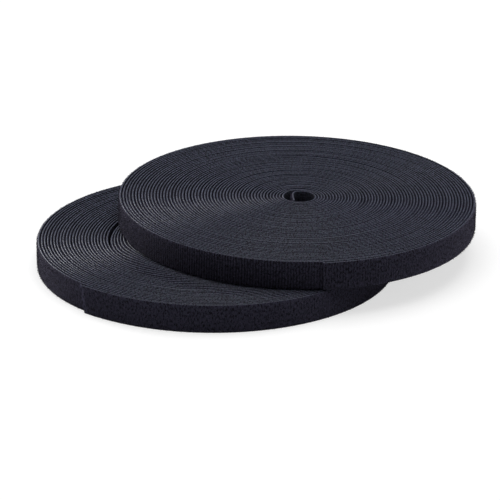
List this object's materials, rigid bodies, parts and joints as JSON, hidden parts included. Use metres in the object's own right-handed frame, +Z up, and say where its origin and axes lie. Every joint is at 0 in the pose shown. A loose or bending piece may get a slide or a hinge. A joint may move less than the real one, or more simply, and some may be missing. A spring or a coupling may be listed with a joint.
{
  "type": "hook and loop tape roll",
  "caption": "Flat coreless roll of double-sided hook and loop tape, lying on a like one. Each free end peels off its roll, to be cut to length and wrapped round cables or bundles.",
  "frame": {"origin": "on the table, under the centre of the box around both rolls", "axes": "+Z up from the table, +X to the right as pictured, towards the side to which the upper roll is set over, +Y away from the viewer"},
  "size_m": [0.2932, 0.263, 0.0414],
  "materials": {
    "loop_pile": "black napped nylon loop pile, matt and fuzzy",
    "hook_weave": "black woven nylon with fine hooks, slightly glossy",
    "packed_edges": "woven edges of tightly wound black tape, matt"
  },
  "bodies": {
    "lower_roll": {"lower_roll_outer_loop_ribbon": "loop_pile", "lower_roll_outer_hook_ribbon": "hook_weave", "lower_roll_packed_middle_turns": "packed_edges", "lower_roll_packed_inner_turns": "packed_edges", "lower_roll_inner_loop_ribbon": "loop_pile", "lower_roll_inner_hook_ribbon": "hook_weave"},
    "lower_free_end": {"lower_roll_free_end_loop_ribbon": "loop_pile", "lower_roll_free_end_hook_ribbon": "hook_weave"},
    "upper_roll": {"upper_roll_outer_loop_ribbon": "loop_pile", "upper_roll_outer_hook_ribbon": "hook_weave", "upper_roll_packed_middle_turns": "packed_edges", "upper_roll_packed_inner_turns": "packed_edges", "upper_roll_inner_loop_ribbon": "loop_pile", "upper_roll_inner_hook_ribbon": "hook_weave"},
    "upper_free_end": {"upper_roll_free_end_loop_ribbon": "loop_pile", "upper_roll_free_end_hook_ribbon": "hook_weave"}
  },
  "joints": [
    {"name": "lower_free_end_peel", "type": "hinge", "parent": "lower_roll", "child": "lower_free_end", "pos_m": [-0.06382, -0.12599, 0.0095], "axis": [0, 0, 1], "range_deg": [0, 90]},
    {"name": "upper_roll_lift", "type": "slide", "parent": "lower_roll", "child": "upper_roll", "axis": [0, 0, 1], "range_m": [0, 0.06]},
    {"name": "upper_free_end_peel", "type": "hinge", "parent": "upper_roll", "child": "upper_free_end", "pos_m": [0.0979, -0.08533, 0.02873], "axis": [0.0169, 0, 0.9999], "range_deg": [0, 90]}
  ]
}
